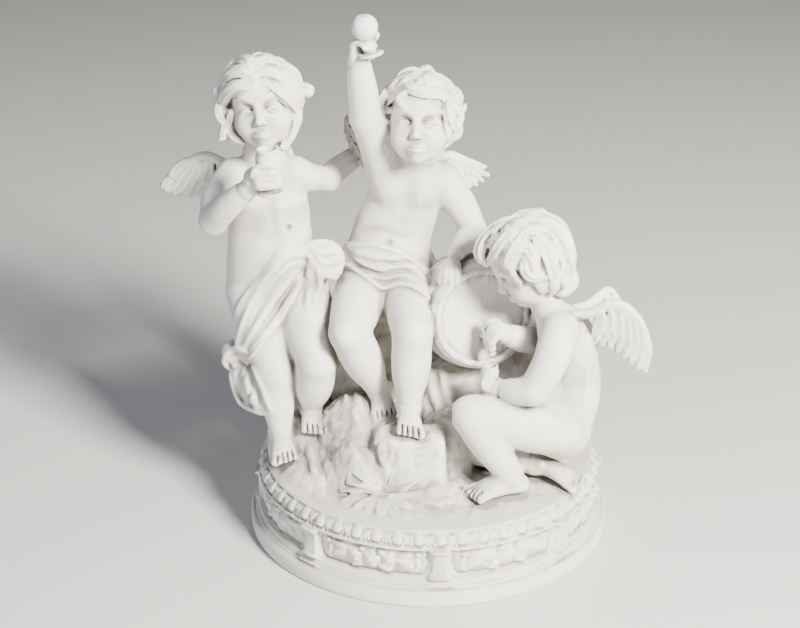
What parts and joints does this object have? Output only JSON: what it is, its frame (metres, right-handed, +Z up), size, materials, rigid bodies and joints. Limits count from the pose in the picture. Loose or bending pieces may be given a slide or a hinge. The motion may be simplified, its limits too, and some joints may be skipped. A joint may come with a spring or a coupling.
{
  "type": "bisque figure group",
  "caption": "Porcelain figure group: winged cupids drink round a barrel on rocky ground, fired in one piece with a round plinth of festooned panels under an egg moulding.",
  "frame": {"origin": "centre of the plinth's flat underside", "axes": "+Z up; -Y is the front; +X is to the right of someone who faces the front"},
  "size_m": [0.3254, 0.25, 0.3646],
  "materials": {
    "bisque": "matt white unglazed porcelain"
  },
  "bodies": {
    "root": {"figure_group": "bisque"}
  },
  "joints": []
}
